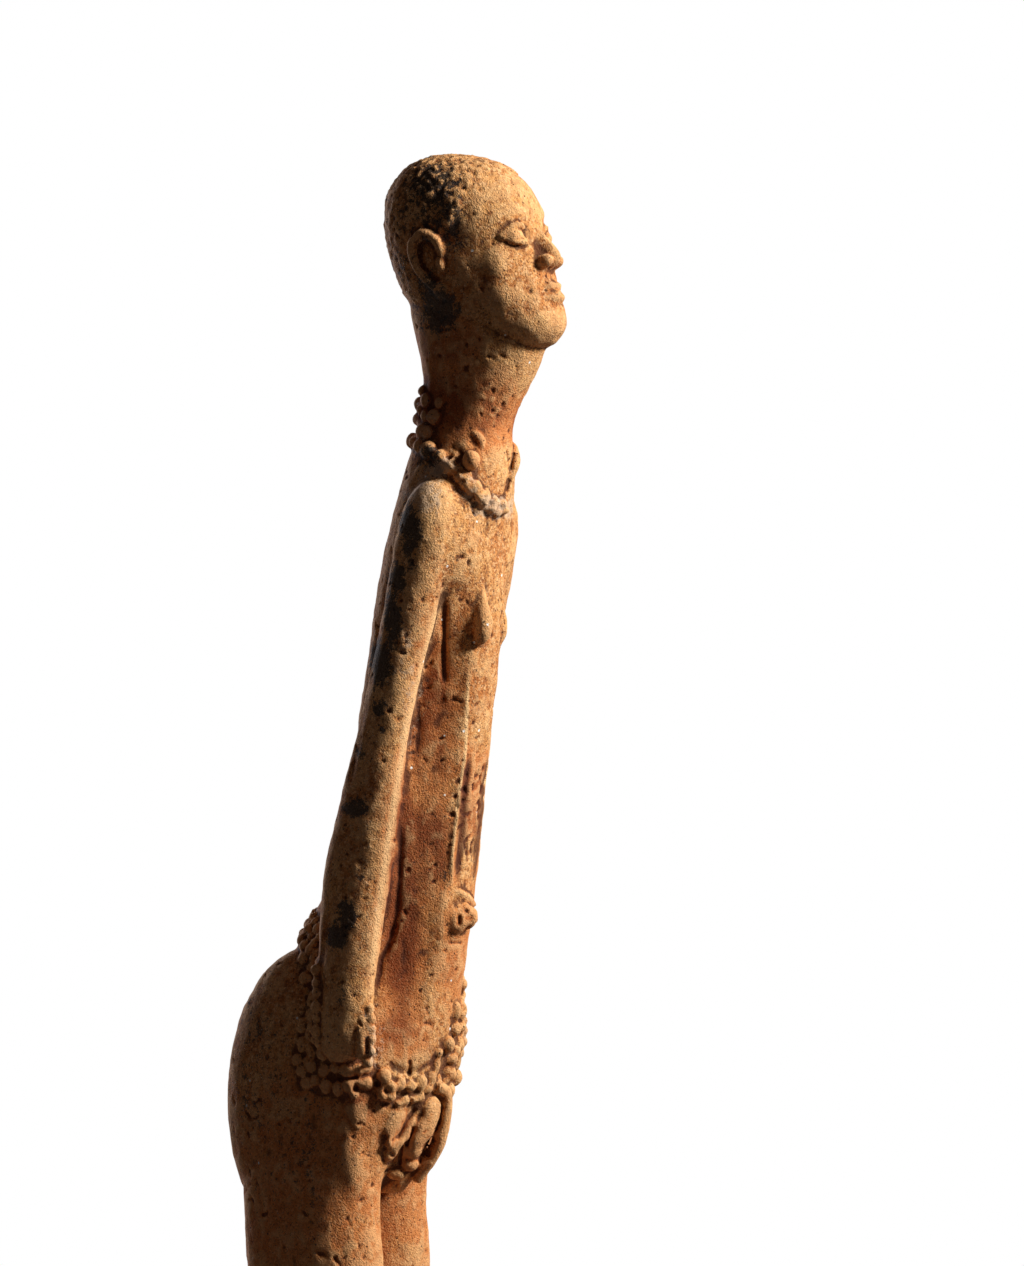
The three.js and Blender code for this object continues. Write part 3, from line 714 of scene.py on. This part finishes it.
# Raised cordon: a thin string of clay laid down the edge of the flat front and
# smoothed in at both ends, with a fold of clay pinched up above the navel.
CORDON = [
    (44.9, 404.5), (44.5, 389), (43.7, 369.7), (42.2, 361.5), (40.5, 348.7), (39.6, 339.9),
    (38.2, 327.7), (37.4, 314),
]
NAVEL_FOLD = [(39.4, 311), (41.6, 310), (44.4, 307.6), (46.4, 304.6)]
cordon = [
    pressed_on("cordon", CORDON, [0.3, 0.4, 0.7, 1.1, 1.3, 1.3, 1.2, 0.8], 0),
    pressed_on("navel_fold", NAVEL_FOLD, [0.9, 1.7, 2.2, 2.2], -0.4),
]

# Hands: a chain of knuckle bumps on the front edge of each blunt hand, and the
# fingers as one tapering lump below the belt.

# The thumb and the heel of the hand: to the side, in front, height, radius
THUMB = [(41, 22.8, 270, 1.3), (41.6, 24.2, 257, 2.5), (41.6, 24.4, 247, 2.6), (40, 23.6, 239, 2.4)]
HEEL = [(42, 21.2, 270, 1.4), (42.6, 22.2, 259, 3.2), (42.8, 22.4, 249, 3.4), (41.2, 21.6, 242, 2.8)]
hands = []
for hand in (RIGHT, LEFT):
    for name, rows in (("thumb", THUMB), ("heel", HEEL)):
        places = [at(hand * side, front, height) for side, front, height, _ in rows]
        hands.append(string(name, places, [radius for *_, radius in rows]))
    fingers = Matrix.Rotation(math.radians(hand * -38), 3, "Z")
    hands.append(ball("fingers", at(hand * 34.6, 16.6, 226), (3.4, 6.6, 14), fingers, 4))
    for front, height, half in (
        (25.2, 263, 2.2), (26, 258.8, 2.4), (26.4, 254.4, 2.2), (26.2, 250.2, 2.4),
        (25.8, 245.4, 2.5), (24.6, 240.6, 2.5),
    ):
        hands.append(ball("knuckle", at(hand * 41, front, height), (half, half, half)))

# Hair: close-cropped, made of rows of tiny pellets of clay set side by side over the
# head. Their tops are worn down, more so at the back.
def hairline_side(front, up):
    """Above zero inside the hair: from the forehead down in front of the ears to the nape."""
    line = np.interp(front, [-40, -30, -14, -4, 2, 8, 14, 22, 30], [-26, -24, -12, 6, 8, 10, 19, 29, 31])
    return up - line


hair_base = BVHTree.FromObject(head, bpy.context.evaluated_depsgraph_get())
hair = []
PELLET, ROWS = 2.1, 44
HEAD_RADIUS, HAIR_REACH = 34, 2.2
for r in range(ROWS):
    polar = (r + 0.5) / ROWS * HAIR_REACH
    around = max(6, round(2 * math.pi * HEAD_RADIUS * math.sin(polar) / (PELLET * 1.15)))
    for k in range(around):
        turn = (k + 0.5 * (r % 2) + rng.uniform(-0.22, 0.22)) / around * 2 * math.pi
        tipped = polar + rng.uniform(-0.012, 0.012)
        out, up = math.sin(tipped), math.cos(tipped)
        way = Vector((out * math.sin(turn), -out * math.cos(turn), up))
        way.rotate(HEAD_TURN)
        centre = on_head(0, -1, 5)
        hit, normal, _, _ = hair_base.ray_cast(centre + way * 0.1, -way)
        if hit is None or rng.uniform() < 0.1:
            continue
        local = HEAD_TURN.inverted() @ (hit - on_head(0, 0, 0)) / MM
        on_ear = math.hypot(-local.y + 4, local.z + 2) < 13 and abs(local.x) > 20
        if on_ear or hairline_side(-local.y, local.z) < 0:
            continue
        worn = np.interp(local.y, [-20, 0, 15], [0.34, 0.45, 0.72])
        hair.append(pellet(hit, normal, PELLET * rng.uniform(0.8, 1.2), worn + rng.uniform(-0.1, 0.1)))

clay_lumps += cord + apron + cordon + hands + [rolled("beads", beads), rolled("hair", hair)]
figure = fuse("figure", clay_lumps, 0.75, 2)

# Surface: coarse clay full of crushed pottery, scraped upright while wet, then
# worn, chipped and pitted in the ground.


def lattice_noise(points, size, seed, stretch=(1, 1, 1)):
    """Smooth random swelling between -1 and 1, with bumps of the given size in millimetres."""
    turned = np.array(Matrix.Rotation(0.9 + seed, 3, Vector((0.5, 0.7, 0.4)).normalized()))
    p = (points / (np.array(stretch) * size)) @ turned.T + seed * 17.31
    low = np.floor(p).astype(np.int64)
    t = p - low
    t = t * t * (3 - 2 * t)
    total = np.zeros(len(points))
    for corner in range(8):
        offset = np.array([corner & 1, corner >> 1 & 1, corner >> 2 & 1])
        cell = low + offset
        mixed = (cell[:, 0] * 73856093) ^ (cell[:, 1] * 19349663) ^ (cell[:, 2] * 83492791)
        mixed = mixed ^ (seed * 2654435761)
        mixed = (mixed ^ (mixed >> 13)) * 1274126177 & 0xFFFFFFFF
        value = ((mixed ^ (mixed >> 16)) & 0xFFFF) / 32767.5 - 1
        share = np.prod(np.where(offset, t, 1 - t), axis=1)
        total += value * share
    return total


def across_of(places, normals):
    """Across and height as seen from the right front, and from the left front for the far half."""
    return -np.abs(places[:, 0]) * 0.454 - places[:, 1] * 0.891, places[:, 2]


def spot(middle, half_sizes):
    """One in the middle of an oval place, falling softly to nothing outside it."""
    away = np.hypot((across - middle[0]) / half_sizes[0], (height - middle[1]) / half_sizes[1])
    return np.clip(1.6 - away * 1.1, 0, 1)


# slots and holes between beads, folds and fingers: places across and up, depth, half width
press_lines(figure, [
    ([(-10, 233.6), (-4, 233.8), (-0.4, 234.4)], 1.4, 0.9),
    ([(-1.6, 229.8), (-1.8, 229.4)], 2.0, 1.2),
    ([(3.0, 250.6), (3.1, 245)], 1.0, 0.6),
    ([(7.0, 231.4), (7.2, 230.8)], 2.0, 1.0),
    ([(9.6, 223.2), (10.2, 222.8)], 1.8, 1.2),
    ([(10.6, 228.6), (10.8, 228)], 0.8, 0.8),
    ([(40.9, 300), (40.9, 298)], 1.3, 1.0),
    ([(37.6, 289.4), (41.4, 289.2)], 1.1, 0.7),
    ([(23.1, 221.4), (18.4, 214.6), (14.3, 207.6)], 2.2, 1.4),
    ([(21.4, 212), (20.6, 208), (19.2, 205)], 2.2, 0.9),
    ([(17.4, 205.4), (16.4, 200), (15.8, 196)], 1.8, 0.8),
    ([(12.8, 201.4), (13.0, 201)], 1.8, 1.0),
    ([(33.6, 221.6), (32.8, 215), (30.8, 209.6)], 1.8, 0.8),
    ([(29.8, 206), (27.6, 200.4)], 3.0, 1.8),
    ([(20.4, 240.2), (20.2, 235)], 1.2, 0.8),
    ([(63.6, 493), (62.2, 487)], 1.8, 0.9),
    ([(61.4, 482), (60.8, 478.6)], 1.8, 0.9),
    ([(44.4, 334), (44, 322)], 0.7, 0.5),
])

places, normals = vertices_of(figure)
across, height = across_of(places, normals)
# soft swellings of the hand-drawn surface, from large to small
relief = 0.30 * lattice_noise(places, 13, 1)
relief += 0.22 * lattice_noise(places, 5, 2, (1, 1, 1.8))
relief += 0.20 * lattice_noise(places, 2.3, 3, (1, 1, 1.5))
scraped = lattice_noise(places, 1.6, 6, (1, 1, 12))
relief += 0.28 * scraped * spot((45, 325), (7, 14))
pits = lattice_noise(places, 2.4, 4) + 0.4 * lattice_noise(places, 9, 5)
pitted = spot((46, 350), (7, 20)) + 0.9 * spot((52, 471), (9, 6))
crumbly = spot((44, 300), (6, 7)) + spot((38, 486), (7, 5))
crumbly += spot((53, 471), (8, 6)) + 0.6 * spot((54, 514), (6, 7))
relief += 0.4 * lattice_noise(places, 1.9, 7) * crumbly
pitted += 0.4 * crumbly
relief -= 1.6 * np.clip(pits - 0.64 + 0.36 * pitted, 0, 1)
# the underside of the base stays flat
above_board = np.clip((places[:, 2] - 1.0) / 3.0, 0, 1)
places += normals * (relief * above_board)[:, None]
put_back(figure, places)

MOST_TRIANGLES = 195000
thin = figure.modifiers.new("thin", "DECIMATE")
thin.ratio = min(1.0, MOST_TRIANGLES / (2 * len(figure.data.polygons)))
bpy.context.view_layer.objects.active = figure
bpy.ops.object.modifier_apply(modifier=thin.name)
bpy.ops.object.shade_smooth()

# Traces of fire, soil and wear, kept with the mesh: soot, grey crust and red clay. With them go painted
# shade in hollows, grooves and over the back of the head, and painted highlights on ridges and crests.
places, normals = vertices_of(figure)
across, height = across_of(places, normals)
edges = np.empty(len(figure.data.edges) * 2, dtype=np.int64)
figure.data.edges.foreach_get("vertices", edges)
edges = edges.reshape(-1, 2)
neighbours = np.bincount(edges.ravel(), minlength=len(places)).astype(float)


def averaged(values, rounds):
    """Each vertex's value blended with its neighbours'."""
    for _ in range(rounds):
        total = np.zeros_like(values)
        np.add.at(total, edges[:, 0], values[edges[:, 1]])
        np.add.at(total, edges[:, 1], values[edges[:, 0]])
        values = total / neighbours.reshape(-1, *[1] * (values.ndim - 1))
    return values


depth = np.einsum("ij,ij->i", averaged(places, 5) - places, normals)
blotch = 0.5 * lattice_noise(places, 8, 11) + 0.5 * lattice_noise(places, 3, 12)


def patches_of(spots, raggedness):
    """How far a trace covers each vertex: soft ovals with ragged edges, seen from the right front."""
    covered = np.zeros(len(places))
    for *oval_spot, share in spots:
        covered = np.maximum(covered, share * spot(oval_spot[:2], oval_spot[2:]))
    return np.clip(covered + raggedness * blotch * np.clip(covered * 4, 0, 1), 0, 1)


def lines_of(lines):
    """How far a thin trace covers each vertex: lines with a half width and a share."""
    covered = np.zeros(len(places))
    for line, half_width, share in lines:
        distance, along = from_line(across, height, line)
        ends = np.clip(along * (1 - along) * 12, 0, 1)
        covered = np.maximum(covered, share * np.exp(-((distance / half_width) ** 2)) * ends)
    return covered


# middle across and up, half sizes across and up, share
soot_and_shade = patches_of([
    (30, 604, 11, 9, 1), (36, 592, 9, 10, 0.8), (40, 583, 6, 8, 0.6),
    (24, 590, 12, 12, 0.6), (18, 575, 9, 16, 0.45), (33, 588, 14, 14, 0.5),
    (33, 552, 8, 10, 1), (28, 563, 5, 6, 0.7), (28, 492, 5, 5, 0.8),
    (21, 460, 4.5, 14, 1), (15.5, 440, 4, 8, 0.9), (13.5, 424, 3.6, 12, 1),
    (8.5, 406, 4.5, 10, 1), (8, 387, 3.6, 3.5, 1), (9, 379, 2, 3.5, 0.7),
    (0, 369.5, 2.6, 4, 0.8), (-2, 346, 5, 3.4, 1), (0.5, 318.5, 1.8, 3, 0.7),
    (-5.5, 302, 4, 7, 1), (-9.5, 293, 4.5, 6, 1), (-7, 268, 2.6, 4, 0.5),
    (35, 317, 2.2, 4.5, 0.5), (-42, 235, 12, 40, 0.3), (-25, 200, 20, 40, 0.25),
], 0.4)
# the fire reached the sides of the arms and trunk, not the flat of the back
facing = np.sign(places[:, 0]) * normals[:, 0] * 0.891 - normals[:, 1] * 0.454
soot_and_shade *= np.where(height < 540, np.clip(1 + 4 * facing, 0, 1), 1)
# the back half of the head is darkened as well: painted shade, mixed into the soot of the scalp
behind = np.clip((places[:, 1] + 40) / 30, 0, 1)
soot_and_shade = np.maximum(soot_and_shade, 0.65 * behind * np.clip((height - 555) / 20, 0, 1))
# the tops of the hair are rubbed back to the clay
soot_and_shade *= 1 - 0.75 * np.clip(-depth * 3 - 0.15, 0, 1) * np.clip((height - 570) / 10, 0, 1)

crust = patches_of([
    (26, 476, 9, 8, 0.9), (33, 487, 8, 4, 0.8), (44, 480, 6, 6, 0.7),
    (54, 471, 7, 5, 0.9), (27, 500, 6, 8, 0.5), (6, 250, 4, 16, 0.4),
    (19, 400, 6, 30, 0.3), (4, 340, 5, 40, 0.25),
], 0.5)

red = patches_of([
    (17, 300, 9, 45, 1), (18, 340, 6, 24, 0.9), (31, 385, 8, 34, 0.75),
    (29, 330, 10, 22, 0.9), (45.5, 350, 5, 18, 0.7), (35, 538, 13, 10, 0.8),
    (25, 372, 5, 30, 0.6), (0, 222, 10, 14, 0.7), (46, 299, 5, 6, 0.5),
    (38, 285, 10, 26, 0.42), (22, 205, 14, 16, 0.35), (-20, 180, 40, 60, 0.4),
    (30, 515, 20, 16, 0.9), (17, 254, 11, 12, 0.7), (52, 512, 12, 16, 0.7),
    (46.6, 490.6, 3.4, 4, 0.5), (0, 185, 8, 30, 0.4),
], 0.3)

# painted highlights along the arm's crest, the cordon's edge and the hand's edge
painted_highlight = lines_of([
    ([(39.1, 449), (28.6, 415.5), (20, 382), (14, 348), (10, 321), (7.4, 300), (4, 266)], 2.0, 0.7),
    ([(44.9, 404.5), (43.7, 369.7), (40.5, 348.7), (38.2, 327.7), (37, 316)], 0.7, 1),
    ([(0, 262), (5, 252), (6, 244), (5, 238)], 1.8, 0.4),
])
# painted shade along the pressed grooves: beside the cordon, the armpit, the arm's edge, the belt and the
# cord's end
painted_groove_shade = lines_of([
    ([(45.6, 369), (43.8, 356), (42.8, 348.7), (42.2, 340), (41.2, 329), (40.2, 313)], 1.4, 1),
    ([(43.4, 356), (42.9, 348), (42.2, 334), (41.6, 324)], 2.4, 0.8),
    ([(35.2, 431), (34.8, 412), (35, 397)], 1.0, 0.9),
    ([(24.5, 390), (23.5, 366)], 0.6, 0.7),
    ([(16.8, 342), (16.6, 326), (15.5, 303), (12.8, 292), (8.6, 282), (7.2, 268)], 0.9, 0.8),
    ([(10.9, 240.7), (20.6, 236.6), (29, 239.5), (31.8, 244.9)], 1.2, 0.6),
    ([(44.4, 334), (44, 322)], 0.4, 0.8),
    ([(63.4, 493), (62, 487), (61.4, 480)], 0.8, 1),
])

# the hollow trace is painted shade in hollows and a painted highlight on ridges, from how far each vertex
# lies below or above its neighbours
TRACES = {"soot_and_shade": soot_and_shade, "crust": crust, "red_clay": red, "cavity_shade_edge_highlight": depth * 2.2, "painted_highlight": painted_highlight,
          "painted_groove_shade": painted_groove_shade}
for name, values in TRACES.items():
    kept = figure.data.attributes.new(name, "FLOAT", "POINT")
    kept.data.foreach_set("value", np.ascontiguousarray(values, dtype=np.float32))


def linear(hex_colour):
    """An sRGB hex colour as linear red, green, blue and one."""
    channels = [int(hex_colour[i:i + 2], 16) / 255 for i in (1, 3, 5)]
    return [c / 12.92 if c <= 0.04045 else ((c + 0.055) / 1.055) ** 2.4 for c in channels] + [1.0]


def add(tree, kind, settings=None, **links):
    """Adds one node, with its settings and the links or values of its inputs."""
    node = tree.nodes.new(kind)
    for key, value in (settings or {}).items():
        setattr(node, key, value)
    for key, value in links.items():
        name = key.replace("_", " ")
        socket = node.inputs[int(key[1:])] if key[0] == "i" and key[1:].isdigit() else node.inputs[name]
        if isinstance(value, bpy.types.NodeSocket):
            tree.links.new(value, socket)
        else:
            socket.default_value = value
    return node


# Low-fired terracotta, hand-built and unglazed: dry, coarse and open, with crushed
# pottery in it that shows as pale, orange and dark grains.
terracotta = bpy.data.materials.new("low_fired_terracotta")
terracotta.use_nodes = True
tree = terracotta.node_tree
tree.nodes.clear()

place = add(tree, "ShaderNodeTexCoord").outputs["Object"]
upright = add(tree, "ShaderNodeMapping", Vector=place, Scale=(1.0, 1.0, 0.12)).outputs["Vector"]
trace = {name: add(tree, "ShaderNodeAttribute", {"attribute_name": name}).outputs["Fac"] for name in TRACES}
# Size of the bumps in millimetres, detail, roughness. Real sand is about half a millimetre and grit
# finer, and both are drawn a little coarser so that they show
patches, mottle, streaks, broken, sand, grit = (
    add(tree, "ShaderNodeTexNoise", Vector=way, Scale=1 / (size * MM), Detail=detail,
        Roughness=rough).outputs["Fac"]
    for way, size, detail, rough in (
        (place, 34, 6, 0.62), (place, 4, 4, 0.65), (upright, 3, 4, 0.6), (place, 2.6, 3, 0.75),
        (place, 0.85, 1, 0.6), (place, 0.6, 2, 0.7),
    )
)
grains, crumbs, holes = (
    add(tree, "ShaderNodeTexVoronoi", Vector=place, Scale=1 / (size * MM)).outputs for size in (1, 4.2, 2.3)
)
grain_tone, crumb_tone, hole_tone = (
    add(tree, "ShaderNodeSeparateColor", Color=cells["Color"]).outputs for cells in (grains, crumbs, holes)
)
# crust, and soot with the painted shade on the back of the head, stop in ragged grains, not in a soft edge
ragged = add(tree, "ShaderNodeMath", {"operation": "MULTIPLY_ADD"}, i0=broken, i1=2.2, i2=grit).outputs[0]
crusted, soot_and_shade_ragged = (
    add(tree, "ShaderNodeMath", {"operation": "ADD"}, i0=trace[name], i1=ragged).outputs[0]
    for name in ("crust", "soot_and_shade")
)
# a few crumbs are white, and a good part of the holes are open, each of its own width
crumb_edge = add(tree, "ShaderNodeMath", {"operation": "LESS_THAN"}, i0=crumbs["Distance"], i1=0.14)
white_crumb = add(tree, "ShaderNodeMath", {"operation": "MULTIPLY"}, i0=crumb_tone[0],
                  i1=crumb_edge.outputs[0]).outputs[0]
hole_width = add(tree, "ShaderNodeMath", {"operation": "MULTIPLY_ADD"}, i0=hole_tone[0], i1=0.24, i2=-0.04)
hole = add(tree, "ShaderNodeMath", {"operation": "LESS_THAN"}, i0=holes["Distance"],
           i1=hole_width.outputs[0]).outputs[0]

# What shows where, from the clay outwards: pattern, where it starts and is full, how strong, colour
SMOOTH = {"interpolation_type": "SMOOTHSTEP"}
LAYERS = [
    (patches, 0.38, 0.62, 1.0, "#d29455"),
    (mottle, 0.46, 0.68, 0.65, "#e2ae71"),
    (mottle, 0.50, 0.32, 0.6, "#96501f"),
    (streaks, 0.52, 0.72, 0.45, "#8a4d28"),
    (grain_tone[0], 0.70, 0.95, 0.5, "#f0c08a"),
    (grain_tone[1], 0.66, 0.95, 0.6, "#6e3517"),
    (trace["red_clay"], 0.0, 0.45, 0.65, "#c9753c"),
    (trace["red_clay"], 0.4, 1.0, 0.85, "#7f3815"),
    # painted highlights on the arm's crest, the cordon and the hand
    (trace["painted_highlight"], 0.1, 0.9, 0.75, "#f0c68d"),
    (sand, 0.44, 0.26, 0.65, "#542710"),
    (grit, 0.42, 0.30, 0.7, "#482411"),
    (grit, 0.60, 0.74, 0.4, "#efbd84"),
    # painted shade in hollows, then a painted highlight on ridges and edges
    (trace["cavity_shade_edge_highlight"], 0.08, 0.6, 0.85, "#47200f"),
    (trace["cavity_shade_edge_highlight"], -0.1, -0.6, 0.4, "#e6b57c"),
    # painted shade along the pressed grooves
    (trace["painted_groove_shade"], 0.1, 0.9, 0.85, "#471d0b"),
    (crusted, 1.95, 2.45, 0.55, "#cfb496"),
    (white_crumb, 0.955, 0.96, 1.0, "#efe6da"),
    (hole, 0.0, 1.0, 0.85, "#3c1f12"),
    # soot, with painted shade on the back of the head
    (soot_and_shade_ragged, 2.0, 2.3, 0.9, "#262422"),
]
colour = linear("#bd753b")
for pattern, start, full, strength, paint in LAYERS:
    share = add(tree, "ShaderNodeMapRange", SMOOTH, Value=pattern, From_Min=start, From_Max=full,
                To_Max=strength)
    colour = add(tree, "ShaderNodeMix", {"data_type": "RGBA"}, i0=share.outputs["Result"], i6=colour,
                 i7=linear(paint)).outputs[2]

# Relief too fine for the mesh, from grit to the open holes: pattern, strength, height in millimetres
relief_normal = add(tree, "ShaderNodeNewGeometry").outputs["Normal"]
for pattern, strength, rise in (
    (grit, 0.9, 0.45), (sand, 0.8, 0.5), (mottle, 0.6, 0.6), (streaks, 0.5, 0.35), (hole, 1.0, -0.6),
):
    relief_normal = add(tree, "ShaderNodeBump", Strength=strength, Distance=rise * MM, Height=pattern,
                        Normal=relief_normal).outputs["Normal"]
shader = add(tree, "ShaderNodeBsdfPrincipled", Base_Color=colour, Roughness=0.92, Specular_IOR_Level=0.25,
             Normal=relief_normal)
add(tree, "ShaderNodeOutputMaterial", Surface=shader.outputs["BSDF"])
figure.data.materials.clear()
figure.data.materials.append(terracotta)
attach(figure, "root")
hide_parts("figure")

# Studio: a plain pale floor and a white backdrop, as a photographer lays them out,
# with one soft key light high at the figure's front, a faint one behind and weak fill.
bpy.ops.mesh.primitive_circle_add(vertices=96, radius=1.55, fill_type="NGON")
floor = bpy.context.object
floor.name = "floor"
floor_paint = bpy.data.materials.new("pale_floor")
floor_paint.use_nodes = True
finish = floor_paint.node_tree.nodes["Principled BSDF"].inputs
finish["Base Color"].default_value = linear("#f4f3f1")
finish["Roughness"].default_value = 0.9
floor.data.materials.append(floor_paint)
floor.visible_diffuse = False

world = bpy.data.worlds.new("studio")
bpy.context.scene.world = world
world.use_nodes = True
sky = world.node_tree
sky.nodes.clear()
seen_directly = add(sky, "ShaderNodeLightPath").outputs["Is Camera Ray"]
room = add(sky, "ShaderNodeBackground", Color=linear("#ffeef0"), Strength=0.055)
backdrop = add(sky, "ShaderNodeBackground", Color=linear("#ffffff"), Strength=1.0)
both = add(sky, "ShaderNodeMixShader", i0=seen_directly, i1=room.outputs[0], i2=backdrop.outputs[0])
add(sky, "ShaderNodeOutputWorld", Surface=both.outputs[0])


def lamp(name, place, aim, size, power, colour="#ffffff"):
    light = bpy.data.lights.new(name, "AREA")
    light.energy = power
    light.color = linear(colour)[:3]
    light.size = size
    obj = bpy.data.objects.new(name, light)
    obj.location = place
    obj.rotation_euler = (Vector(aim) - Vector(place)).to_track_quat("-Z", "Y").to_euler()
    bpy.context.scene.collection.objects.link(obj)


aim = (0.02, -0.05, 0.40)
lamp("key", (0.57, -1.90, 1.62), aim, 0.4, 108)
lamp("rim", (1.03, 1.47, 0.7), aim, 0.7, 28, "#eef2ff")

# Camera: on a stand at chest height, a little over three metres away at the figure's
# right front, with a long lens.
VIEW_HEIGHT = 0.532
DISTANCE = 3.2
AIM_ACROSS, AIM_HEIGHT = 0.063, 0.4184
camera = bpy.data.cameras.new("camera")
camera.sensor_fit = "VERTICAL"
camera.sensor_height = 36
camera.lens = 36 * DISTANCE / VIEW_HEIGHT
camera_object = bpy.data.objects.new("camera", camera)
target = ACROSS * AIM_ACROSS + Vector((0, 0, AIM_HEIGHT))
camera_object.location = target + OUTWARD * DISTANCE
camera_object.rotation_euler = (-OUTWARD).to_track_quat("-Z", "Y").to_euler()
bpy.context.scene.collection.objects.link(camera_object)
bpy.context.scene.camera = camera_object
bpy.context.scene.view_settings.view_transform = "Standard"
